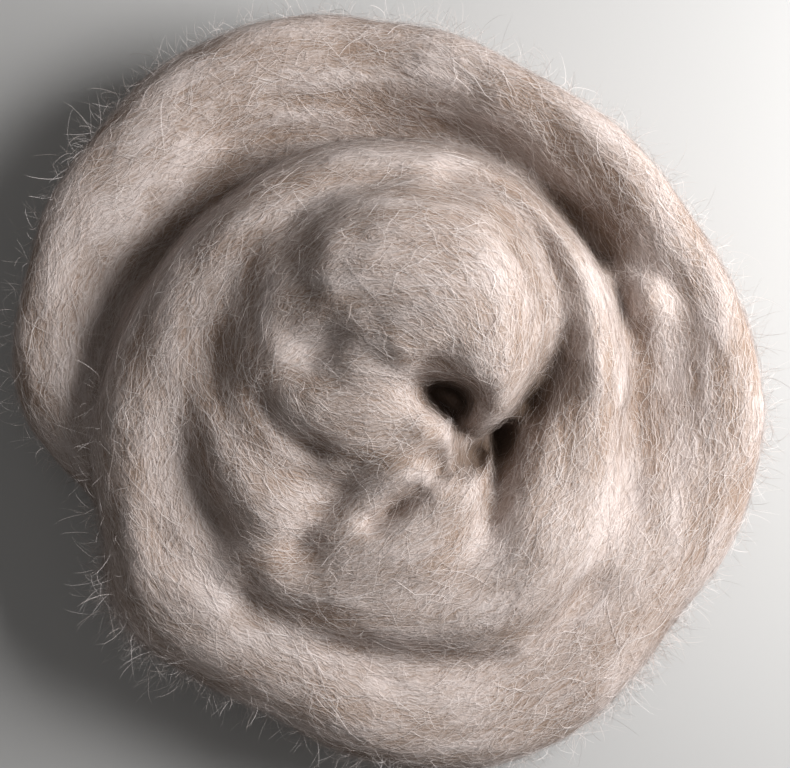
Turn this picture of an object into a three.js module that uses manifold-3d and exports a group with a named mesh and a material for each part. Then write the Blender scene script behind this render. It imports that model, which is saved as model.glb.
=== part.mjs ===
// A length of combed cashmere top, wound into a loose nest and resting on a table.
// Millimetres, +Z up. The coil is seen from above in its usual view, with +Y away from the viewer.
// One sliver winds clockwise and inward: an outer turn, a second turn that climbs on it, a third
// lap that dips under a folded head, and the small curls of the inner end. It is one solid, whose
// surface is found from the distance to all the laps, so that they run softly into each other.

import * as THREE from 'three';
import Module from 'manifold-3d';

const wasm = await Module();
wasm.setup();

// The sliver's own form
const STEP = 3;               // distance between two sections along the sliver
const PLUMPNESS = 2.3;        // 2 is an ellipse, more is squarer
const FOLDS = 3;              // shallow lengthwise folds in the sliver
const FOLD_DEPTH = 0.03;      // their depth as a share of the section
const TWIST_LENGTH = 210;     // the sliver turns once on itself in this length
const BELLY = 0.42;           // height of the widest place, as a share of the top's height
const PRESSED = 2.2;          // how much of the round underside the table flattens away
const SOFTNESS = 4.5;         // how softly two laps run into each other

// The laps that are hidden inside the coil, as one low mound
const HEART = { x: -1, y: -1, across: 130, deep: 128, top: 24, squareness: 3.6 };

// The surface: the space it is searched in, the spacing of the search and how far thinning moves it
const SPACE = { min: [-106, -106, -8], max: [106, 106, 66] };
const SPACING = 2.8;
const MARGIN = 8;             // a stretch farther away than this isn't measured exactly
const THINNING = 0.26;

const COLOUR = 0xb9aa9d;
const ROUGHNESS = 0.95;

// Each row is a section of the sliver: its place, its width, the height of its top above the
// table, and its slant, which lifts the side to the left of the winding direction and moves the
// crest to that side.
const COLUMNS = ['x', 'y', 'wide', 'top', 'slant'];

// From the loose end, which is tucked under the second turn, clockwise to the near side
const outerTurn = [
  [-48, -38, 22, 14, 0],
  [-58, -25, 20, 19, 0.07],
  [-67.5, -10, 27, 23, 0.14],
  [-73.5, 5, 30.5, 24.5, 0.24],
  [-71.5, 21.5, 27.5, 25.5, 0.3],
  [-65, 37.5, 29.5, 26.5, 0.3],
  [-55.5, 52, 31, 27, 0.3],
  [-42, 65, 32.5, 27, 0.3],
  [-24.5, 72.5, 31, 27.5, 0.3],
  [-5, 75, 27.5, 27, 0.32],
  [13.5, 73, 24, 28, 0.34],
  [31.5, 65.5, 19.5, 29, 0.36],
  [48, 54.5, 19, 30, 0.36],
  [61, 40.5, 20, 29.5, 0.36],
  [70.5, 26, 23, 29.5, 0.32],
  [77.5, 8, 27.5, 28, 0.26],
  [78, -10, 28.5, 27.5, 0.22],
  [73.5, -26.5, 30.5, 28, 0.17],
  [61.5, -42, 37, 28.5, 0.1],
  [50.5, -55, 40, 29, 0.07],
  [35.5, -67.5, 40, 30, 0.07],
  [18, -73.5, 38, 31, 0.1],
  [-3, -72.5, 34, 32, 0.1],
  [-20, -63, 32, 32, 0.07],
  [-36, -56, 29, 31, 0.07],
  [-48, -46, 20, 26, 0],
];

// It leaves the outer turn on the near side, crosses the loose end and climbs
const secondTurn = [
  [-12, -66, 22, 27, 0],
  [-24, -61.5, 30, 32, 0.03],
  [-37.5, -55, 32, 35, 0.03],
  [-49, -46, 34, 36, 0.03],
  [-53, -33, 30, 37, 0],
  [-55.5, -18, 29, 37, 0],
  [-55, -2, 27, 38, 0],
  [-51, 12, 26, 39, 0],
  [-43, 25, 26, 40, 0],
  [-32, 36, 26, 41, 0],
  [-19, 44, 26, 41, 0],
  [-5, 47.5, 27, 41, 0],
  [10, 48, 27, 41, 0],
  [25, 43.5, 27, 41, 0],
  [36, 34, 27, 41, 0],
  [43.5, 22, 26, 40, 0],
  [47, 8, 26, 40, 0],
  [47, -7, 26, 38, 0],
  [45, -20, 22, 33, 0],
];

const thirdLap = [
  [48, 22, 16, 32, 0],
  [48, 8, 24, 38, 0],
  [47, -8, 28, 40, 0],
  [44, -23, 32, 40, 0],
  [38, -36, 36, 39, 0],
  [28, -46, 36, 38, 0],
  [14, -49, 34, 38, 0],
  [-4, -49, 32, 38, 0],
  [-20, -46, 31, 36, 0],
  [-34, -38, 27, 33, 0],
  [-43, -26, 23, 31, 0],
  [-45, -11, 19, 30, 0],
  [-43, 4, 14, 29, 0],
];

// The lap that comes up from under the head on the left and bends back
const leftFold = [
  [-39, 18, 14, 32, 0],
  [-39, 7, 20, 37, 0],
  [-35, -5, 27, 41, 0],
  [-29, -16, 31, 43, 0],
  [-25, -26, 30, 42, 0],
  [-26, -36, 26, 39, 0],
];

// The laps between the folds in the middle
const innerBed = [
  [-22, -12, 24, 38, 0],
  [-13, -23, 32, 39, 0],
  [-2, -32, 32, 39, 0],
  [10, -38, 26, 38, 0],
  [22, -40, 18, 34, 0],
];

// The head: a broad folded mass, its bulge on the lower left, and the full part on the right
// that overlaps both and curls down
const headMass = [
  [-34, 19, 22, 38, 0],
  [-24, 22, 38, 45, 0],
  [-9, 26, 44, 50, 0],
  [7, 27, 45, 53, 0],
  [23, 25, 40, 53, 0],
  [37, 19, 24, 44, 0],
];

const headLeft = [
  [-24, -7, 12, 38, 0],
  [-27, 3, 21, 43, 0],
  [-25, 13, 28, 45.5, 0],
  [-18, 23, 32, 47, 0],
  [-7, 29, 28, 48, 0],
];

const headRight = [
  [-11, 19, 32, 50, 0],
  [-4, 25, 42, 56, 0],
  [4, 27, 46, 58, 0],
  [15, 26, 47, 58.5, 0],
  [24, 20, 41, 57, 0],
  [28, 12, 31, 54, 0],
  [28.5, 5, 23, 50.5, 0],
  [27.5, -1, 15, 46, 0],
  [25, -5, 9, 40, 0],
];

// The head's lower edge, over the dark gap in the middle
const headLip = [
  [-4, 9, 12, 50, 0],
  [5, 9, 13, 51, 0],
  [13, 9, 12.5, 51, 0],
  [20, 8, 11, 50, 0],
];

// The inner end, in small curls under the head
const shellCurl = [
  [-25, 12, 14, 42, 0],
  [-24, 2, 20, 45, 0],
  [-17, -6, 24, 47, 0],
  [-7, -9.5, 23, 47.5, 0],
  [4, -11, 20, 46.5, 0],
  [12, -11.5, 16, 44, 0],
  [14.5, -17, 9, 39, 0],
];

const shellRim = [
  [-20, 8, 14, 44, 0],
  [-13, 3, 20, 48.5, 0],
  [-3, 0, 20, 49.5, 0],
  [5, -2, 16, 48.5, 0],
  [10, -5, 10, 45, 0],
];

const shellTail = [
  [14, -10, 10, 40, 0],
  [11, -16, 14, 43.5, 0],
  [5, -20.5, 15, 44, 0],
  [-1, -25.5, 14, 42.5, 0],
  [-9, -33, 12, 38, 0],
];

const lowerTongue = [
  [24, -15, 11, 36, 0],
  [19, -22.5, 18, 43, 0],
  [13, -32, 22, 43.5, 0],
  [2, -38, 23, 41.5, 0],
  [-10, -43, 20, 38.5, 0],
  [-23, -45, 16, 35, 0],
];

// The pinched fold on the inner side of the outer turn, on the right
const pinchedFold = [
  [60, 30, 9, 25, 0],
  [65, 22.5, 13, 32, 0],
  [67, 14, 15, 28, 0],
  [67, 2, 16, 25, 0],
  [66.5, -12, 17, 26, 0],
  [64, -26, 19, 28, 0],
  [56, -39, 17, 29, 0],
];

const windings = [
  outerTurn, secondTurn, thirdLap, leftFold, innerBed, headMass, headLeft, headRight, headLip,
  shellCurl, shellRim, shellTail, lowerTongue, pinchedFold,
];

function namedRows(table) {
  return table.map((row) => Object.fromEntries(COLUMNS.map((name, i) => [name, row[i]])));
}

function curveThrough(rows, values) {
  return new THREE.CatmullRomCurve3(rows.map((row) => new THREE.Vector3(...values(row))));
}

// The sections of a stretch of sliver, one every few millimetres, and the rectangle round them
function stretchOf(table) {
  const rows = namedRows(table);
  const route = curveThrough(rows, (row) => [row.x, row.y, 0]);
  const shape = curveThrough(rows, (row) => [row.wide, row.top, row.slant]);
  const long = route.getLength();
  const count = Math.ceil(long / STEP);
  const made = [];
  const bounds = new THREE.Box2();
  for (let i = 0; i <= count; i += 1) {
    const { x, y } = route.getPoint(i / count);
    const { x: wide, y: top, z: slant } = shape.getPoint(i / count);
    made.push({ x, y, wide, top, slant, run: (i / count) * long });
    bounds.expandByPoint(new THREE.Vector2(x - wide / 2, y - wide / 2));
    bounds.expandByPoint(new THREE.Vector2(x + wide / 2, y + wide / 2));
  }
  const { min, max } = bounds;
  return { rows: made, left: min.x, right: max.x, near: min.y, far: max.y };
}

// The place on a stretch that is nearest to x, y as seen from above, with its section
function nearestSection(rows, x, y) {
  let nearest = { away: Infinity };
  for (let i = 1; i < rows.length; i += 1) {
    const from = rows[i - 1];
    const to = rows[i];
    const [alongX, alongY] = [to.x - from.x, to.y - from.y];
    const along = (x - from.x) * alongX + (y - from.y) * alongY;
    const share = THREE.MathUtils.clamp(along / (alongX ** 2 + alongY ** 2), 0, 1);
    const [offX, offY] = [x - from.x - share * alongX, y - from.y - share * alongY];
    const away = Math.hypot(offX, offY);
    if (away < nearest.away) {
      nearest = { away, from, to, share, isRight: offX * alongY - offY * alongX > 0 };
    }
  }
  return nearest;
}

// Below 1 inside the curve, and above 1 outside it
function superellipse(across, upward, squareness) {
  return (Math.abs(across) ** squareness + Math.abs(upward) ** squareness) ** (1 / squareness);
}

// How deep a point lies under the surface of a stretch of sliver, and below zero outside it
function depthInSliver(stretch, x, y, z) {
  const outside = Math.max(stretch.left - x, x - stretch.right, stretch.near - y, y - stretch.far);
  if (outside > MARGIN) {
    return -outside;
  }
  const { away, from, to, share, isRight } = nearestSection(stretch.rows, x, y);
  const [wide, top, slant, run] = ['wide', 'top', 'slant', 'run'].map(
    (name) => THREE.MathUtils.lerp(from[name], to[name], share),
  );
  const belly = top * BELLY;
  const side = isRight ? away : -away;
  const right = side + (z - belly) * slant;
  const up = z - belly + side * slant;
  const reach = up > 0 ? top - belly : belly + PRESSED;
  const across = right / (wide / 2);
  const upward = up / reach;
  const turned = Math.atan2(upward, across) - (2 * Math.PI * run) / TWIST_LENGTH;
  const fold = 1 + FOLD_DEPTH * Math.cos(FOLDS * turned);
  return (fold - superellipse(across, upward, PLUMPNESS)) * Math.min(wide / 2, reach);
}

function depthInHeart(x, y, z) {
  const across = Math.hypot((x - HEART.x) / (HEART.across / 2), (y - HEART.y) / (HEART.deep / 2));
  return (1 - superellipse(across, z / HEART.top, HEART.squareness)) * HEART.top;
}

// The greater of two depths, rounded where they are nearly alike
function joined(first, second) {
  const overlap = Math.max(SOFTNESS - Math.abs(first - second), 0) / SOFTNESS;
  return Math.max(first, second) + (overlap ** 2 * SOFTNESS) / 4;
}

function largestPart(body) {
  const parts = body.decompose();
  return parts.reduce((best, part) => (part.volume() > best.volume() ? part : best));
}

function bufferGeometry(body) {
  const { vertProperties, triVerts } = body.getMesh();
  const geometry = new THREE.BufferGeometry();
  geometry.setAttribute('position', new THREE.BufferAttribute(new Float32Array(vertProperties), 3));
  geometry.setIndex(new THREE.BufferAttribute(new Uint32Array(triVerts), 1));
  return geometry;
}

// The whole coil, cut flat where it meets the table and centred over its middle
function coil() {
  const stretches = windings.map(stretchOf);
  const depth = ([x, y, z]) => stretches.reduce(
    (most, stretch) => joined(most, depthInSliver(stretch, x, y, z)),
    depthInHeart(x, y, z),
  );
  const whole = wasm.Manifold.levelSet(depth, SPACE, SPACING);
  const rested = largestPart(whole.trimByPlane([0, 0, 1], 0)).simplify(THINNING);
  const geometry = bufferGeometry(rested);
  geometry.computeBoundingBox();
  const middle = geometry.boundingBox.getCenter(new THREE.Vector3());
  geometry.translate(-middle.x, -middle.y, 0);
  geometry.computeVertexNormals();
  return geometry;
}

const cashmere = new THREE.MeshStandardMaterial({ color: COLOUR, roughness: ROUGHNESS, metalness: 0 });

const fibreTop = new THREE.Mesh(coil(), cashmere);
fibreTop.name = 'fibre_top';

const model = new THREE.Group();
model.add(fibreTop);

export default model;
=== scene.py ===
import math

import bmesh
import bpy
import numpy as np
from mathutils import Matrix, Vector
from mathutils.bvhtree import BVHTree


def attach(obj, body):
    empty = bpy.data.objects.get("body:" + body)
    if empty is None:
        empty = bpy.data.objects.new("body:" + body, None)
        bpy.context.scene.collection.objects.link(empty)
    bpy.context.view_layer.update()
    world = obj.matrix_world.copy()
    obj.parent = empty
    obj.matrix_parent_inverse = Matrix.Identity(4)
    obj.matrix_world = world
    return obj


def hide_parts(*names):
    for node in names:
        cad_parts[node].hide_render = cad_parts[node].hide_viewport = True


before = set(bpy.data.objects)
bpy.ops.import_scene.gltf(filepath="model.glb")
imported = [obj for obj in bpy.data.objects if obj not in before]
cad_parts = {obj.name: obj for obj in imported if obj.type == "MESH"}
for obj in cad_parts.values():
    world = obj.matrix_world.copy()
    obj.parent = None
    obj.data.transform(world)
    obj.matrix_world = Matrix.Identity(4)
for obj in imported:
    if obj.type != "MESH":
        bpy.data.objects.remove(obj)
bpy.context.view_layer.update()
mm = 0.001


# Camera, light and floor

view = {
    "aimX": 2.2,  # the point straight under the camera
    "aimY": 3.0,
    "height": 450.0,
    "lens": 79.5,
    "sensor": 36.0,
    "nearest": 0.01,
}

studio = {
    "floorSize": 3.0,
    "floorColour": (0.54, 0.536, 0.53),
    "floorSpeck": 0.985,  # how dark its faint specks are beside it
    "floorGrain": 900.0,
    "floorRoughness": 0.85,
    "keyPlace": (325.0, 90.0, 255.0),
    "keySize": 220.0,
    "keyPower": 2.85,
    "keyColour": (1.0, 0.995, 0.99),
    "fillPlace": (-150.0, 100.0, 650.0),
    "fillSize": 600.0,
    "fillPower": 0.2,
    "fillColour": (1.0, 0.985, 0.97),
    "sky": (1.0, 0.98, 0.96),
    "skyStrength": 0.10,
}


def makeCamera():
    data = bpy.data.cameras.new("camera")
    data.lens = view["lens"]
    data.sensor_width = view["sensor"]
    data.clip_start = view["nearest"]
    camera = bpy.data.objects.new("camera", data)
    camera.location = Vector((view["aimX"], view["aimY"], view["height"])) * mm
    bpy.context.scene.collection.objects.link(camera)
    bpy.context.scene.camera = camera


def makeLamp(name, place, size, power, colour):
    data = bpy.data.lights.new(name, "AREA")
    data.size = size * mm
    data.energy = power
    data.color = colour
    lamp = bpy.data.objects.new(name, data)
    lamp.location = Vector(place) * mm
    lamp.rotation_euler = lamp.location.to_track_quat("Z", "Y").to_euler()
    bpy.context.scene.collection.objects.link(lamp)


def makeSky():
    world = bpy.data.worlds.new("sky")
    world.use_nodes = True
    background = world.node_tree.nodes["Background"]
    background.inputs["Color"].default_value = (*studio["sky"], 1.0)
    background.inputs["Strength"].default_value = studio["skyStrength"]
    bpy.context.scene.world = world


# Shader helper: a socket that takes part in sums, and one method for any other node

class Value:
    def __init__(self, shader, socket):
        self.shader = shader
        self.socket = socket

    def maths(self, operation, *others):
        return self.shader.node("ShaderNodeMath", {"operation": operation}, [self, *others])

    def __add__(self, other):
        return self.maths("ADD", other)

    def __sub__(self, other):
        return self.maths("SUBTRACT", other)

    def __mul__(self, other):
        return self.maths("MULTIPLY", other)

    def __radd__(self, other):
        return self + other

    def __rmul__(self, other):
        return self * other

    def __rsub__(self, other):
        return self * -1.0 + other

    def between(self, low, high):
        return self.maths("MAXIMUM", low).maths("MINIMUM", high)


class Shader:
    def __init__(self, name):
        self.material = bpy.data.materials.new(name)
        self.material.use_nodes = True
        self.tree = self.material.node_tree
        self.surface = self.tree.nodes["Principled BSDF"]

    def put(self, socket, value):
        if isinstance(value, Value):
            self.tree.links.new(value.socket, socket)
        else:
            socket.default_value = value

    def node(self, kind, settings=None, values=None, output=0):
        made = self.tree.nodes.new(kind)
        for name, setting in (settings or {}).items():
            setattr(made, name, setting)
        pairs = values.items() if isinstance(values, dict) else enumerate(values or [])
        for name, value in pairs:
            self.put(made.inputs[name], value)
        return Value(self, made.outputs[output])

    def attribute(self, name):
        return self.node("ShaderNodeAttribute", {"attribute_name": name}, output="Fac")

    def place(self):
        return self.node("ShaderNodeTexCoord", output="Object")

    def noise(self, place, scale, detail=2.0):
        return self.node("ShaderNodeTexNoise", values={"Vector": place, "Scale": scale, "Detail": detail})

    # The place turned about the upright axis, then stretched along the new first axis
    def stretched(self, place, turn, scale):
        settings = {"rotation_type": "Z_AXIS"}
        turned = self.node("ShaderNodeVectorRotate", settings, {"Vector": place, "Angle": -turn})
        return self.node("ShaderNodeMapping", values={"Vector": turned, "Scale": scale})

    def mix(self, share, first, second):
        settings = {"data_type": "RGBA"}
        return self.node("ShaderNodeMix", settings, {0: share, 6: first, 7: second}, output=2)

    def bump(self, height, strength, distance):
        values = {"Height": height, "Strength": strength, "Distance": distance}
        return self.node("ShaderNodeBump", values=values)

    def finish(self, values):
        for name, value in values.items():
            self.put(self.surface.inputs[name], value)
        return self.material


# A plain film: what the lights give is what shows
bpy.context.scene.view_settings.view_transform = "Standard"


def makeFloor():
    bpy.ops.mesh.primitive_plane_add(size=studio["floorSize"])
    floor = bpy.context.object
    floor.name = "floor"
    shader = Shader("pale floor")
    grain = shader.noise(shader.place(), studio["floorGrain"])
    speck = [channel * studio["floorSpeck"] for channel in studio["floorColour"]]
    level = shader.mix(grain, (*speck, 1.0), (*studio["floorColour"], 1.0))
    finish = {"Base Color": level, "Roughness": studio["floorRoughness"]}
    floor.data.materials.append(shader.finish(finish))


makeCamera()
makeSky()
makeLamp("key", studio["keyPlace"], studio["keySize"], studio["keyPower"], studio["keyColour"])
makeLamp("fill", studio["fillPlace"], studio["fillSize"], studio["fillPower"], studio["fillColour"])
makeFloor()
print("stage: camera, light and floor")


# The way the fibres run, seen from above: lines that follow the sliver and its folds, in millimetres.
# Between the lines the direction is blended from the nearest ones.

flow = {
    "outer turn, crest": [(-62, -34), (-74, -18), (-82, 2), (-82, 22), (-76, 42), (-63, 60), (-46, 73),
                          (-27, 81), (-6, 85), (14, 83), (33, 74), (49, 63), (63, 51), (74, 37), (82, 20),
                          (84, 2), (83, -16), (77, -32), (68, -46), (57, -59), (44, -70), (28, -80),
                          (10, -85), (-6, -83), (-21, -74), (-38, -66), (-53, -56), (-61, -44)],
    "outer turn, middle": [(-56, -30), (-66, -14), (-72, 4), (-71, 20), (-66, 34)],
    "outer turn, left slope": [(-66, 36), (-55, 41), (-44, 46)],
    "outer turn, upper left": [(-68, 50), (-54, 55), (-40, 61), (-28, 66)],
    "outer turn, top slope": [(-22, 77), (-8, 73), (4, 66), (12, 60)],
    "outer turn, top right slope": [(6, 78), (20, 70), (32, 61), (40, 52)],
    "outer turn, right slope": [(42, 63), (50, 52), (56, 40), (60, 28)],
    "pinched fold": [(60, 34), (64, 24), (65, 10), (65, -6), (64, -20), (58, -34), (50, -46)],
    "outer turn, near side": [(56, -48), (42, -61), (26, -70), (10, -74), (-6, -73)],
    "crossing, outer": [(-8, -80), (-20, -70), (-32, -60), (-44, -48)],
    "crossing, inner": [(2, -74), (-12, -66), (-26, -57), (-38, -48)],
    "second turn": [(-58, -46), (-63, -28), (-64, -8), (-60, 10), (-52, 26), (-40, 39), (-26, 48), (-9, 54),
                    (8, 56), (25, 53), (39, 44), (49, 31), (55, 15), (57, -2), (56, -20), (50, -36)],
    "second turn, inner": [(-54, -36), (-56, -20), (-55, -2), (-49, 14), (-40, 28), (-27, 40), (-11, 47)],
    "third lap, right": [(45, 22), (46, 6), (43, -10), (37, -26), (28, -38), (14, -47)],
    "third lap, outer": [(50, -28), (42, -42), (30, -52), (14, -59), (-4, -59), (-20, -54), (-34, -45),
                         (-44, -32), (-48, -16), (-47, 0)],
    "left fold, inner": [(-36, 12), (-33, 0), (-27, -10), (-21, -18), (-12, -23)],
    "left fold, outer": [(-44, 4), (-40, -10), (-34, -22), (-26, -30), (-14, -33)],
    "bed": [(-34, -38), (-20, -40), (-6, -36), (6, -30)],
    "head, far edge": [(-32, 16), (-27, 29), (-15, 39), (1, 44), (18, 43), (30, 35), (37, 22), (36, 7),
                       (30, -6)],
    "head, middle": [(-29, 10), (-20, 22), (-6, 28), (9, 28), (21, 23), (28, 13), (29, 2), (25, -7)],
    "head, near edge": [(-24, 4), (-12, 13), (2, 15), (12, 12), (19, 6), (22, -3)],
    "shell, rim": [(-19, 7), (-13, 4), (-4, 4), (5, 1), (11, -4)],
    "shell, curl": [(-23, 3), (-20, -6), (-12, -12), (-2, -13), (8, -11), (15, -7)],
    "shell, tail": [(15, -13), (9, -18), (3, -23), (-4, -29), (-12, -34)],
    "tongue": [(22, -17), (17, -26), (8, -34), (-4, -40), (-16, -44)],
}

# Where the drawing's own middle lies in the part's frame
drawingMiddle = np.array([-2.1, 0.5])

flowField = {
    "lineStep": 3.0,
    "softness": 3.5,  # how far a line still rules alone
    "cell": 1.5,
    "reach": 108.0,
}


def flowSamples():
    places, angles = [], []
    for line in flow.values():
        points = np.array(line, float) + drawingMiddle
        runs = np.concatenate([[0.0], np.cumsum(np.hypot(*np.diff(points, axis=0).T))])
        steps = np.arange(0.0, runs[-1], flowField["lineStep"])
        route = np.stack([np.interp(steps, runs, points[:, axis]) for axis in (0, 1)], axis=1)
        heading = np.gradient(route, axis=0)
        places.append(route)
        angles.append(np.arctan2(heading[:, 1], heading[:, 0]))
    return np.concatenate(places), np.concatenate(angles)


# Doubled angles are blended, because a fibre has no front or back end
def makeFlowGrid():
    places, angles = flowSamples()
    reach, cell = flowField["reach"], flowField["cell"]
    side = np.arange(-reach, reach + cell / 2, cell)
    gridX, gridY = np.meshgrid(side, side, indexing="ij")
    far = (gridX[..., None] - places[:, 0]) ** 2 + (gridY[..., None] - places[:, 1]) ** 2
    weight = 1.0 / (far + flowField["softness"] ** 2) ** 2
    return np.stack([(weight * np.cos(2 * angles)).sum(-1), (weight * np.sin(2 * angles)).sum(-1)], axis=-1)


flowGrid = makeFlowGrid()


# The direction at each place, in the plane of the table
def flowAngle(places):
    cell = (places[:, :2] / mm + flowField["reach"]) / flowField["cell"]
    cell = np.clip(cell, 0, len(flowGrid) - 1.001)
    low = cell.astype(int)
    part = cell - low
    blend = np.zeros((len(places), 2))
    for stepX in (0, 1):
        for stepY in (0, 1):
            share = np.abs(1 - stepX - part[:, 0]) * np.abs(1 - stepY - part[:, 1])
            blend += share[:, None] * flowGrid[low[:, 0] + stepX, low[:, 1] + stepY]
    return 0.5 * np.arctan2(blend[:, 1], blend[:, 0])


def unit(vectors):
    return vectors / np.maximum(np.linalg.norm(vectors, axis=-1, keepdims=True), 1e-12)


# The same direction laid into the surface, turned aside by an angle where one is given
def flowHeading(places, normals, aside=0.0):
    angle = flowAngle(places)
    heading = np.stack([np.cos(angle), np.sin(angle), np.zeros(len(places))], axis=1)
    heading = unit(heading - normals * (heading * normals).sum(1, keepdims=True))
    across = np.cross(normals, heading)
    turn = np.broadcast_to(aside, len(places))[:, None]
    return unit(heading * np.cos(turn) + across * np.sin(turn))


print("stage: flow of the fibres")


# The body: the coil's solid form, softened, then pressed and raised along the flow

body = {
    "merge": 0.00001,
    "voxel": 1.2,
    "smoothPasses": 5,
    "smoothFactor": 0.5,
    "floorBand": 0.6,
    "fadeHeight": 5.0,
    "lockSpread": 16,  # broad locks of fibre
    "lockPasses": 70,
    "lockDepth": 0.8,
    "strandSpread": 3,  # finer strands
    "strandPasses": 26,
    "strandDepth": 0.16,
    "streakScale": 0.4,  # the share of both depths that is used
    "alignment": 6,  # how strictly the streaks keep to the flow
    "ownShare": 0.4,  # how much of its own value a point keeps in each pass
    "streakLimit": 2.5,
    "pressPasses": 3,
    "evenPasses": 1,
    "seed": 11,
    "creaseShadePerMm": 0.035,  # how much less open a crease counts for each millimetre of its depth, for the painted shade in creases
    "rays": 24,  # for how open each place is to the light
    "rayStart": 0.6,
    "rayLength": 34.0,
    "toneMiddle": 0.5,  # the streaks as tones for the material
    "toneSpread": 0.2,
}

# Creases and soft swells: a route seen from above, its half width, and its depth, below zero for a swell
creases = [
    {"route": [(-2, 48), (5, 50.5), (12, 52), (22, 50.5), (33, 47)], "wide": 2.0, "deep": 1.8},
    {"route": [(-20, 40), (-8, 47), (4, 51)], "wide": 2.4, "deep": 1.2},
    {"route": [(-4.5, 41), (-7.5, 28.5), (-10, 15)], "wide": 3.0, "deep": 0.7},
    {"route": [(-10.5, 11.5), (-5.5, 12.5), (-1, 10), (4, 6), (9, 4)], "wide": 1.8, "deep": 1.4},
    {"route": [(-10, 22), (-3, 15), (4.5, 8)], "wide": 4.0, "deep": -2.6},
    {"route": [(-19, 13), (-14, 10.5)], "wide": 5.0, "deep": 2.2},
    {"route": [(-28, -1), (-24, -6.5), (-19.5, -10.5), (-14, -14)], "wide": 3.0, "deep": 4.2},
    {"route": [(-15.5, -12.5), (-11, -14), (-5, -16.5)], "wide": 2.2, "deep": 1.6},
    {"route": [(15, -19), (11.5, -21), (6.5, -24.5), (0.5, -30), (-1.5, -30)], "wide": 1.7, "deep": 5.5},
    {"route": [(13, -15), (20.5, -17), (26.5, -14), (31.5, -9), (36, -2.5)], "wide": 3.4, "deep": 5.0},
    {"route": [(17, -16.5), (22, -16.5), (27, -13.5)], "wide": 3.4, "deep": 6.0},
    {"route": [(18, -9), (21, -13), (25, -15)], "wide": 4.0, "deep": 4.0},
    {"route": [(17, 0.5), (19, -2.5)], "wide": 4.6, "deep": -9.0},
    {"route": [(27, -20), (28, -25), (27.5, -31)], "wide": 2.4, "deep": 1.0},
    {"route": [(-7.5, -23.5), (-13.5, -28.5), (-18, -32), (-20.5, -35.5)], "wide": 2.2, "deep": 1.8},
    {"route": [(-20.5, -27.5), (-27, -26.5)], "wide": 1.0, "deep": 0.8},
    {"route": [(29.5, -63.5), (5.5, -62.5), (-11.5, -59), (-30.5, -49.5)], "wide": 3.2, "deep": 1.4},
    {"route": [(-30.5, -49.5), (-45, -42), (-51, -32.5)], "wide": 2.6, "deep": 1.4},
    {"route": [(0.5, -67.5), (5.5, -71)], "wide": 1.2, "deep": 1.2},
    {"route": [(-71, 15), (-71, -1.5)], "wide": 4.0, "deep": 1.6},
    {"route": [(-66, 26), (-58, 32), (-50, 37)], "wide": 4.0, "deep": 1.5},
    {"route": [(57, 33), (63, 31.5), (68.5, 28.5), (71.5, 25.5)], "wide": 2.2, "deep": 1.5},
    {"route": [(60.5, 26.5), (60, 20.5), (64, 15)], "wide": 2.0, "deep": 1.2},
    {"route": [(66, 25), (67, 20)], "wide": 4.0, "deep": -1.0},
    {"route": [(66, 12), (67, -1.5), (65.5, -11)], "wide": 3.6, "deep": 1.1},
    {"route": [(62.5, -25.5), (63.5, -30.5)], "wide": 3.0, "deep": 0.9},
    {"route": [(41, 47), (49, 39), (54, 31.5), (57, 23), (59.5, 13), (61.5, -1.5)], "wide": 3.2,
     "deep": 3.0},
    {"route": [(61.5, -4), (62, -14), (60.5, -25)], "wide": 4.5, "deep": 1.2},
    {"route": [(37, 36), (40.5, 26), (42, 14), (40.5, 5), (37, -1)], "wide": 5.6, "deep": 7.5},
    {"route": [(44, -3), (44.5, -13), (44, -23)], "wide": 8.0, "deep": 2.5},
    {"route": [(45, 36), (49.5, 27.5), (52, 17.5), (53, 6)], "wide": 5.0, "deep": -2.8},
    {"route": [(18.5, 50), (26.5, 47.5), (32.5, 42.5)], "wide": 4.4, "deep": 6.5},
    {"route": [(15, 57.5), (29, 53), (39.5, 45)], "wide": 4.0, "deep": -2.2},
    {"route": [(30, 69), (47, 58), (59.5, 45.5)], "wide": 7.0, "deep": -3.6},
]


def arrayOf(collection, name, width, kind=np.float32):
    values = np.empty(len(collection) * width, kind)
    collection.foreach_get(name, values)
    return values.reshape(-1, width) if width > 1 else values


def softenedCopy(node):
    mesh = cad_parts[node].data.copy()
    build = bmesh.new()
    build.from_mesh(mesh)
    bmesh.ops.remove_doubles(build, verts=build.verts, dist=body["merge"])
    bmesh.ops.recalc_face_normals(build, faces=build.faces)
    build.to_mesh(mesh)
    build.free()
    copy = bpy.data.objects.new("fibre_body", mesh)
    bpy.context.scene.collection.objects.link(copy)
    remesh = copy.modifiers.new("remesh", "REMESH")
    remesh.mode = "VOXEL"
    remesh.voxel_size = body["voxel"] * mm
    smooth = copy.modifiers.new("smooth", "SMOOTH")
    smooth.factor = body["smoothFactor"]
    smooth.iterations = body["smoothPasses"]
    made = bpy.data.meshes.new_from_object(copy.evaluated_get(bpy.context.evaluated_depsgraph_get()))
    copy.modifiers.clear()
    copy.data = made
    copy.data.name = "fibre_body"
    return copy


# Each point's value blended with those of its neighbours, a number of times over
def blended(values, passes, ends, weight):
    count = len(values)
    own = body["ownShare"]
    total = np.bincount(ends[:, 0], weight, count) + np.bincount(ends[:, 1], weight, count) + own
    for _ in range(passes):
        blend = np.bincount(ends[:, 0], weight * values[ends[:, 1]], count)
        blend += np.bincount(ends[:, 1], weight * values[ends[:, 0]], count)
        values = (blend + own * values) / total
    return values


# Noise smoothed mostly along the flow, so that it turns into streaks
def streaks(seed, spreadPasses, flowPasses, count, ends, alignment):
    values = np.random.default_rng(seed).normal(size=count)
    values = blended(values, spreadPasses, ends, np.ones(len(ends)))
    values = blended(values, flowPasses, ends, alignment)
    values -= values.mean()
    return np.clip(values / values.std(), -body["streakLimit"], body["streakLimit"])


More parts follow.
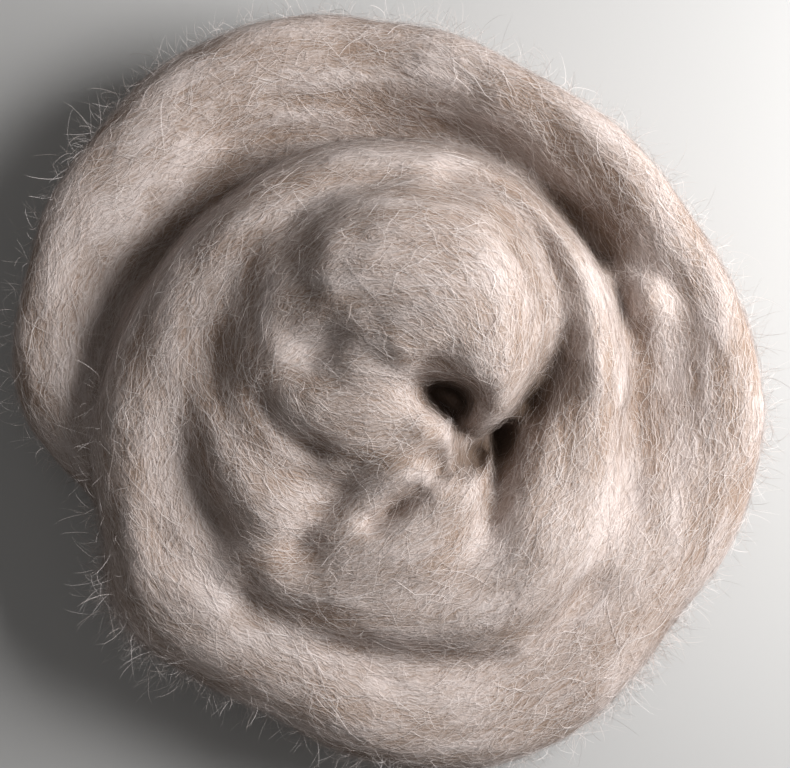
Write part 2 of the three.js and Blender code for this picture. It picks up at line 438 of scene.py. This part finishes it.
def creaseDepth(places):
    spots = places[:, :2] / mm
    depth = np.zeros(len(spots))
    for crease in creases:
        route = np.array(crease["route"], float) + drawingMiddle
        nearest = np.full(len(spots), np.inf)
        for start, end in zip(route[:-1], route[1:]):
            along = end - start
            share = np.clip(((spots - start) @ along) / (along @ along), 0, 1)
            nearest = np.minimum(nearest, np.hypot(*(spots - start - share[:, None] * along).T))
        depth += crease["deep"] * np.exp(-((nearest / crease["wide"]) ** 2))
    return depth


# How much of the sky each place sees, from 0 deep in a fold to 1 on a crest; it sets how much painted shade
# the folds get
def openness(mesh, places, normals):
    tree = BVHTree.FromPolygons(places.tolist(), [tuple(face.vertices) for face in mesh.polygons])
    height = (np.arange(body["rays"]) + 0.5) / body["rays"]
    turn = np.arange(body["rays"]) * math.pi * (3 - math.sqrt(5))
    flat = np.sqrt(1 - height ** 2)
    rays = np.stack([flat * np.cos(turn), flat * np.sin(turn), height], axis=1)
    starts = places + normals * body["rayStart"] * mm
    seen = np.zeros(len(places))
    for ray, weight in zip(rays, height):
        towards = Vector(ray)
        hits = [tree.ray_cast(start, towards, body["rayLength"] * mm)[0] is not None for start in starts]
        seen += weight * ~np.array(hits)
    return seen / height.sum()


def makeBody():
    piece = softenedCopy("fibre_top")
    mesh = piece.data
    places = arrayOf(mesh.vertices, "co", 3).astype(float)
    normals = arrayOf(mesh.vertex_normals, "vector", 3).astype(float)
    ends = arrayOf(mesh.edges, "vertices", 2, np.int32)
    along = unit(places[ends[:, 1]] - places[ends[:, 0]])
    heading = flowHeading(places, normals)
    match = np.abs((along * unit(heading[ends[:, 0]] + heading[ends[:, 1]])).sum(1))
    alignment = match ** body["alignment"]
    count = len(places)
    locks = streaks(body["seed"], body["lockSpread"], body["lockPasses"], count, ends, alignment)
    strands = streaks(body["seed"] + 1, body["strandSpread"], body["strandPasses"], count, ends, alignment)
    top = np.clip(normals[:, 2], 0, 1)
    even = np.ones(len(ends))
    fade = np.clip(places[:, 2] / (body["fadeHeight"] * mm), 0, 1)
    press = blended(creaseDepth(places) * top * fade, body["pressPasses"], ends, even)
    push = (locks * body["lockDepth"] + strands * body["strandDepth"]) * body["streakScale"] * fade
    places += normals * (push * mm)[:, None]
    places[:, 2] -= press * mm
    for axis in (0, 1, 2):
        places[:, axis] = blended(places[:, axis], body["evenPasses"], ends, even)
    places[:, 2] = np.where(places[:, 2] < body["floorBand"] * mm, 0.0, places[:, 2])
    mesh.vertices.foreach_set("co", places.astype(np.float32).ravel())
    mesh.shade_smooth()
    mesh.update()
    normals = arrayOf(mesh.vertex_normals, "vector", 3).astype(float)
    # Painted shade: each millimetre of a crease's depth makes the place count as less open, so its colour
    # darkens
    paintedShadeAmount = np.clip(press, 0, None) * body["creaseShadePerMm"]
    angle = flowAngle(places)
    shades = {
        "lock": locks * body["toneSpread"] + body["toneMiddle"],
        "strand": strands * body["toneSpread"] + body["toneMiddle"],
        "open": np.clip(openness(mesh, places, normals) - paintedShadeAmount, 0, 1),
        "flowCos": np.cos(2 * angle),
        "flowSin": np.sin(2 * angle),
    }
    for name, values in shades.items():
        attribute = mesh.attributes.new(name, "FLOAT", "POINT")
        attribute.data.foreach_set("value", values.astype(np.float32))
    return piece


# Fine lines in the shading: noise stretched in six directions, each shown where the fibres run that way
lines = {
    "directions": 6,
    "sharpness": 4,
    "along": 150.0,
    "across": 2300.0,
    "detail": 2.0,
    "spread": 2.8,
    "crimp": 0.0024,
    "crimpScale": 240.0,
}


def fibreLines(shader, place):
    flowCos = shader.attribute("flowCos")
    flowSin = shader.attribute("flowSin")
    stretch = (lines["along"], lines["across"], lines["across"])
    waver = {"Vector": place, "Scale": lines["crimpScale"]}
    sway = shader.node("ShaderNodeTexNoise", values=waver, output="Color")
    crimp = (lines["crimp"],) * 3
    place = shader.node("ShaderNodeVectorMath", {"operation": "MULTIPLY_ADD"}, [sway, crimp, place])
    total = None
    for number in range(lines["directions"]):
        turn = math.pi * number / lines["directions"]
        match = (flowCos * math.cos(2 * turn) + flowSin * math.sin(2 * turn)).between(0.0, 1.0)
        weight = match.maths("POWER", lines["sharpness"])
        streak = shader.noise(shader.stretched(place, turn, stretch), 1.0, lines["detail"])
        part = (streak - 0.5) * weight
        total = part if total is None else total + part
    return total * lines["spread"]


colour = {
    # Painted shade: the dark colour that folds and creases sink to where they see little of the sky
    "paintedShade": (0.130, 0.084, 0.056),
    "deep": (0.340, 0.248, 0.196),
    "middle": (0.480, 0.392, 0.350),
    "light": (0.630, 0.546, 0.514),
    "fibreDark": (0.50, 0.408, 0.362),
    "fibreLight": (0.92, 0.858, 0.836),
    "openEnough": 0.82,  # from here up nothing sinks to the painted shade of the hollows
    "sinkRate": 1.7,
    "sinkMost": 0.92,
    "sheen": 0.06,
    "sheenRoughness": 0.5,
}

# How much each streak and noise adds to the body's tone, and how its surface takes the light
bodyFinish = {
    "lock": 0.7,
    "strand": 0.8,
    "patches": 0.45,
    "fluff": 0.15,
    "fine": 0.8,
    "darker": 0.55,
    "patchScale": 38.0,
    "patchDetail": 3.0,
    "fluffScale": 1900.0,
    "fluffDetail": 4.0,
    "fluffBump": 0.8,
    "bumpStrength": 0.45,
    "bumpDepth": 0.0004,
    "roughness": 0.95,
    "gloss": 0.15,
}


def opaque(name):
    return (*colour[name], 1.0)


# How far the colour has sunk to the painted shade of the hollows: more where a place sees less of the sky,
# and in the creases
def paintedShadeShare(shader):
    paintedShadeAmount = colour["openEnough"] - shader.attribute("open")
    return (paintedShadeAmount * colour["sinkRate"]).between(0.0, colour["sinkMost"])


def bodyMaterial():
    shader = Shader("combed cashmere")
    place = shader.place()
    lock = shader.attribute("lock")
    strand = shader.attribute("strand")
    patches = shader.noise(place, bodyFinish["patchScale"], bodyFinish["patchDetail"])
    fluff = shader.noise(place, bodyFinish["fluffScale"], bodyFinish["fluffDetail"])
    fine = fibreLines(shader, place)
    tone = lock * bodyFinish["lock"] + strand * bodyFinish["strand"] + patches * bodyFinish["patches"]
    tone = tone + fluff * bodyFinish["fluff"] + fine * bodyFinish["fine"] - bodyFinish["darker"]
    tone = tone.between(0.0, 1.0)
    base = shader.mix((tone * 2.0).between(0.0, 1.0), opaque("deep"), opaque("middle"))
    base = shader.mix((tone * 2.0 - 1.0).between(0.0, 1.0), base, opaque("light"))
    # Painted shade: the body's colour sinks towards the dark of the hollows where little sky is seen
    base = shader.mix(paintedShadeShare(shader), base, opaque("paintedShade"))
    height = fine + fluff * bodyFinish["fluffBump"]
    normal = shader.bump(height, bodyFinish["bumpStrength"], bodyFinish["bumpDepth"])
    return shader.finish({
        "Base Color": base,
        "Roughness": bodyFinish["roughness"],
        "Specular IOR Level": bodyFinish["gloss"],
        "Sheen Weight": colour["sheen"],
        "Sheen Roughness": colour["sheenRoughness"],
        "Normal": normal,
    })


bodyPiece = makeBody()
bodyPiece.data.materials.clear()
bodyPiece.data.materials.append(bodyMaterial())
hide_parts("fibre_top")
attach(bodyPiece, "root")
print("stage: body,", len(bodyPiece.data.polygons), "faces")


# The surface that the fibres lie on

class Surface:
    def __init__(self, piece):
        mesh = piece.data
        mesh.calc_loop_triangles()
        places = arrayOf(mesh.vertices, "co", 3).astype(float)
        corners = arrayOf(mesh.loop_triangles, "vertices", 3, np.int32)
        self.points = places[corners]
        cross = np.cross(self.points[:, 1] - self.points[:, 0], self.points[:, 2] - self.points[:, 0])
        self.areas = np.linalg.norm(cross, axis=1) / 2
        self.normals = unit(cross)
        self.centres = self.points.mean(1)
        self.tree = BVHTree.FromPolygons(places.tolist(), corners.tolist())
        # How open each face is, for the painted shade of the threads that start on it
        self.open = arrayOf(mesh.attributes["open"].data, "value", 1)[corners].mean(1)

    # Random places, as dense as the weights say
    def scatter(self, random, count, weights):
        chance = self.areas * weights
        chosen = random.choice(len(chance), count, p=chance / chance.sum())
        share = random.dirichlet((1, 1, 1), count)
        return (self.points[chosen] * share[..., None]).sum(1), self.normals[chosen], self.open[chosen]

    def settle(self, places, normals):
        nearest = self.tree.find_nearest
        for i, place in enumerate(places):
            found, normal, _, _ = nearest(place)
            places[i] = found
            normals[i] = normal
        return places, normals


surface = Surface(bodyPiece)


# Fibres: closed three-sided threads, flat on the side that looks out, that taper to a point at
# both ends, joined into a few pieces

thread = {
    "blunt": 0.5,  # the lower, the longer a thread keeps its thickness
    "noiseScale": 700.0,
    "noise": 0.3,
    "darker": 0.15,
    "roughness": 0.8,
    "gloss": 0.3,
}

# Where a thread lies in its cell of the map: the share that each side's strip fills, and its heights
cellMap = {
    "strip": 0.9,
    "tip": 0.02,
    "low": 0.1,
    "tall": 0.8,
    "high": 0.9,
    "farTip": 0.98,
    "margin": 0.05,
}


def threadsMesh(name, paths, outward, thickness, tones, opens):
    count, steps = paths.shape[:2]
    tangents = unit(np.gradient(paths, axis=1))
    first = unit(outward - tangents * (outward * tangents).sum(-1, keepdims=True))
    second = np.cross(tangents, first)
    taper = np.sin(np.linspace(0.0, math.pi, steps)) ** thread["blunt"]
    half = thickness[:, None, None] / 2 * taper[None, :, None]
    rings = [paths + second * half, paths - first * half, paths - second * half]
    inner = np.stack(rings, axis=2)[:, 1:-1].reshape(count, -1, 3)
    points = np.concatenate([paths[:, :1], inner, paths[:, -1:]], axis=1)
    faces, uvs = threadPattern(steps)
    return joinedMesh(name, points, faces, uvs, tones, opens)


# The faces of one thread, and where they lie in its small cell of the map
def threadPattern(steps):
    rings = steps - 2
    last = 1 + rings * 3
    low, high = cellMap["low"], cellMap["high"]
    heights = [low + cellMap["tall"] * ring / (rings - 1) for ring in range(rings)]
    faces, uvs = [], []
    for side in range(3):
        left, right = side / 3, (side + cellMap["strip"]) / 3
        nextSide = (side + 1) % 3
        faces.append((0, 1 + nextSide, 1 + side))
        uvs.append(((left, cellMap["tip"]), (right, low), (left, low)))
        for ring in range(rings - 1):
            near, far = 1 + ring * 3, 4 + ring * 3
            bottom, top = heights[ring], heights[ring + 1]
            faces.append((near + side, near + nextSide, far + nextSide, far + side))
            uvs.append(((left, bottom), (right, bottom), (right, top), (left, top)))
        faces.append((last - 3 + side, last - 3 + nextSide, last))
        uvs.append(((left, high), (right, high), (left, cellMap["farTip"])))
    return faces, uvs


def joinedMesh(name, points, faces, uvs, tones, opens):
    count, size = points.shape[:2]
    corners = np.concatenate([np.array(face) for face in faces])
    lengths = np.array([len(face) for face in faces])
    mesh = bpy.data.meshes.new(name)
    mesh.vertices.add(count * size)
    mesh.vertices.foreach_set("co", points.astype(np.float32).ravel())
    loops = (corners[None, :] + np.arange(count)[:, None] * size).ravel()
    mesh.loops.add(len(loops))
    mesh.loops.foreach_set("vertex_index", loops.astype(np.int32))
    ends = np.cumsum(np.tile(lengths, count))
    mesh.polygons.add(len(ends))
    mesh.polygons.foreach_set("loop_start", (ends - np.tile(lengths, count)).astype(np.int32))
    mesh.update(calc_edges=True)
    mesh.shade_flat()
    across = math.ceil(math.sqrt(count))
    cell = np.stack([np.arange(count) % across, np.arange(count) // across], axis=1)
    local = np.concatenate([np.array(uv) for uv in uvs])
    margin = cellMap["margin"]
    spread = (cell[:, None, :] + margin + local[None] * (1 - 2 * margin)) / across
    layer = mesh.uv_layers.new(name="OFBake")
    layer.uv.foreach_set("vector", spread.astype(np.float32).ravel())
    for title, values in (("tone", tones), ("open", opens)):
        attribute = mesh.attributes.new(title, "FLOAT", "POINT")
        attribute.data.foreach_set("value", np.repeat(values, size).astype(np.float32))
    mesh.validate()
    return mesh


def fibreMaterial(name, light):
    shader = Shader(name)
    tone = shader.attribute("tone")
    fluff = shader.noise(shader.place(), thread["noiseScale"])
    share = (tone + fluff * thread["noise"] - thread["darker"] + light).between(0.0, 1.0)
    base = shader.mix(share, opaque("fibreDark"), opaque("fibreLight"))
    # Painted shade: threads rooted in folds and creases darken like the body beneath them
    base = shader.mix(paintedShadeShare(shader), base, opaque("paintedShade"))
    return shader.finish({
        "Base Color": base,
        "Roughness": thread["roughness"],
        "Specular IOR Level": thread["gloss"],
        "Sheen Weight": colour["sheen"],
        "Sheen Roughness": colour["sheenRoughness"],
    })


def addPiece(name, mesh, material):
    mesh.materials.append(material)
    piece = bpy.data.objects.new(name, mesh)
    bpy.context.scene.collection.objects.link(piece)
    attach(piece, "root")
    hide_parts("fibre_top")
    return piece


# Fibres that lie in the surface and dive under at both ends: the coat follows the flow and crosses
# itself at small angles, and the fluff over it is shorter, more curled and less combed
coat = {
    "steps": 7,
    "sink": 0.2,
    "roll": 0.35,
    "inertia": 0.4,  # how much of its last direction a fibre keeps at each step
    "lift": (0.2, 1.0),
    "undercut": 0.9,  # how far under the sides the fibres still reach
    "lowest": 1.5,
    "floorGap": 0.3,
    "tones": (2.2, 2.0),
    "seed": 100,
    "kinds": [
        {"name": "fibre_coat", "pieces": 2, "count": 5400, "long": (8.0, 20.0), "thick": (0.05, 0.10),
         "scatter": 0.34, "bend": 0.45, "rise": 0.7, "wave": 0.8, "waves": (0.6, 1.8)},
        {"name": "fibre_fluff", "pieces": 2, "count": 5000, "long": (4.0, 11.0), "thick": (0.035, 0.075),
         "scatter": 0.75, "bend": 1.2, "rise": 1.4, "wave": 0.55, "waves": (0.8, 2.0)},
    ],
}


# Paths that walk along the surface from random places
def walkSurface(random, kind, shown):
    count, steps = kind["count"], coat["steps"]
    places, normals, opens = surface.scatter(random, count, shown)
    long = random.uniform(*kind["long"], count) * mm
    aside = random.normal(0.0, kind["scatter"], count)
    bend = random.normal(0.0, kind["bend"], count)
    heading = flowHeading(places, normals, aside) * random.choice((-1.0, 1.0), count)[:, None]
    path, ups = [places.copy()], [normals.copy()]
    for step in range(1, steps):
        wanted = flowHeading(places, normals, aside + bend * step / steps)
        wanted *= np.where((wanted * heading).sum(1) < 0, -1.0, 1.0)[:, None]
        heading = unit(heading * coat["inertia"] + wanted)
        stride = (long / (steps - 1))[:, None]
        places, normals = surface.settle(places + heading * stride, normals.copy())
        path.append(places.copy())
        ups.append(normals.copy())
    return np.stack(path, axis=1), np.stack(ups, axis=1), opens


def makeCoat(kind, name, seed, material):
    random = np.random.default_rng(seed)
    count, steps = kind["count"], coat["steps"]
    shown = np.clip(surface.normals[:, 2] + coat["undercut"], 0.0, 1.0)
    shown = shown * (surface.centres[:, 2] > coat["lowest"] * mm)
    paths, ups, opens = walkSurface(random, kind, shown)
    share = np.linspace(0.0, 1.0, steps)
    lift = np.sin(share * math.pi)[None] * random.uniform(*coat["lift"], (count, 1))
    lift = (lift * (kind["rise"] + coat["sink"]) - coat["sink"]) * mm
    across = np.cross(ups, unit(np.gradient(paths, axis=1)))
    phase = random.uniform(0.0, 2 * math.pi, (count, 1))
    waves = random.uniform(*kind["waves"], (count, 1))
    sway = np.sin(phase + waves * share[None] * 2 * math.pi) * kind["wave"] * mm
    paths = paths + ups * lift[..., None] + across * sway[..., None]
    paths[..., 2] = np.maximum(paths[..., 2], coat["floorGap"] * mm)
    thickness = random.uniform(*kind["thick"], count) * mm
    tones = random.beta(*coat["tones"], count)
    outward = unit(ups + across * random.normal(0.0, coat["roll"], (count, 1, 1)))
    return addPiece(name, threadsMesh(name, paths, outward, thickness, tones, opens), material)


coatMaterial = fibreMaterial("cashmere fibre", 0.0)
for order, kind in enumerate(coat["kinds"]):
    for number in range(kind["pieces"]):
        name = f"{kind['name']}_{number}"
        made = makeCoat(kind, name, coat["seed"] + 10 * order + number, coatMaterial)
        print("stage:", name, len(made.data.vertices), "points")


# Loose fibres that stand off the rim in curls: a short halo all round, and longer wisps
fuzz = {
    "steps": 7,
    "thick": (0.035, 0.075),
    "curl": (0.3, 1.2),
    "evenCurl": 0.6,  # the share of the curl that stays the same along a fibre
    "curlSway": 0.4,
    "scatter": 0.6,
    "loose": 0.45,
    "outward": 0.05,
    "root": 0.4,
    "floorGap": 0.4,
    "tone": 0.65,
    "toneSpread": 0.2,
    "light": 0.12,  # how much lighter than the coat
    "seed": 300,
    "kinds": [
        {"name": "fibre_halo", "count": 6500, "long": (3.0, 9.0), "lean": 0.55, "tufted": 1.0},
        {"name": "fibre_wisps", "count": 1300, "long": (8.0, 15.0), "lean": 0.3, "tufted": 3.0},
    ],
}

# The band of the rim that they start from: how far it faces out, its heights, its least distance
# from the middle, and its slope
rim = {
    "away": 0.4,
    "low": 3.0,
    "high": 36.0,
    "inner": 68.0,
    "slope": 0.15,
    "slopeSpread": 0.35,
}

# Tufts on the rim: middle, radius and weight
tufts = [
    {"x": -66, "y": -50, "radius": 12, "weight": 2},
    {"x": -48, "y": -62, "radius": 9, "weight": 1},
    {"x": -62, "y": 62, "radius": 16, "weight": 1},
    {"x": 88, "y": -10, "radius": 14, "weight": 1},
    {"x": 58, "y": -62, "radius": 16, "weight": 2},
]


# Where the loose fibres start: on the rim seen from above, and more of them at the tufts
def fuzzWeights(tufted):
    high = surface.centres[:, 2] / mm
    away = (surface.normals[:, :2] * unit(surface.centres[:, :2])).sum(1)
    weights = np.clip(away - rim["away"], 0.0, 1.0) * (high > rim["low"]) * (high < rim["high"])
    weights = weights * np.exp(-((surface.normals[:, 2] - rim["slope"]) / rim["slopeSpread"]) ** 2)
    weights = weights * (np.hypot(*surface.centres[:, :2].T) > rim["inner"] * mm)
    for tuft in tufts:
        middle = drawingMiddle + (tuft["x"], tuft["y"])
        far = np.hypot(*(surface.centres[:, :2] / mm - middle).T)
        weights = weights * (1 + tuft["weight"] * tufted * np.exp(-((far / tuft["radius"]) ** 2)))
    return weights


def makeFuzz(kind, number, material):
    random = np.random.default_rng(fuzz["seed"] + number)
    count, steps = kind["count"], fuzz["steps"]
    places, normals, opens = surface.scatter(random, count, fuzzWeights(kind["tufted"]))
    long = random.uniform(*kind["long"], count) * mm
    loose = unit(random.normal(size=(count, 3)))
    heading = flowHeading(places, normals, random.normal(0.0, fuzz["scatter"], count))
    heading *= random.choice((-1.0, 1.0), count)[:, None]
    heading = unit(heading + normals * kind["lean"] + loose * fuzz["loose"])
    axis = unit(random.normal(size=(count, 3)))
    curl = random.uniform(*fuzz["curl"], count) * random.choice((-1.0, 1.0), count)
    places = places - normals * fuzz["root"] * mm
    path = [places.copy()]
    for step in range(1, steps):
        turn = (curl * (fuzz["evenCurl"] + fuzz["curlSway"] * math.sin(step)))[:, None]
        heading = unit(heading + np.cross(axis, heading) * turn + normals * fuzz["outward"])
        places = places + heading * (long / (steps - 1))[:, None]
        places[:, 2] = np.maximum(places[:, 2], fuzz["floorGap"] * mm)
        path.append(places.copy())
    paths = np.stack(path, axis=1)
    thickness = random.uniform(*fuzz["thick"], count) * mm
    tones = np.clip(random.normal(fuzz["tone"], fuzz["toneSpread"], count), 0.0, 1.0)
    sides = np.repeat(axis[:, None], steps, axis=1)
    mesh = threadsMesh(kind["name"], paths, sides, thickness, tones, opens)
    return addPiece(kind["name"], mesh, material)


fuzzMaterial = fibreMaterial("loose cashmere fibre", fuzz["light"])
for number, kind in enumerate(fuzz["kinds"]):
    made = makeFuzz(kind, number, fuzzMaterial)
    print("stage:", kind["name"], len(made.data.vertices), "points")
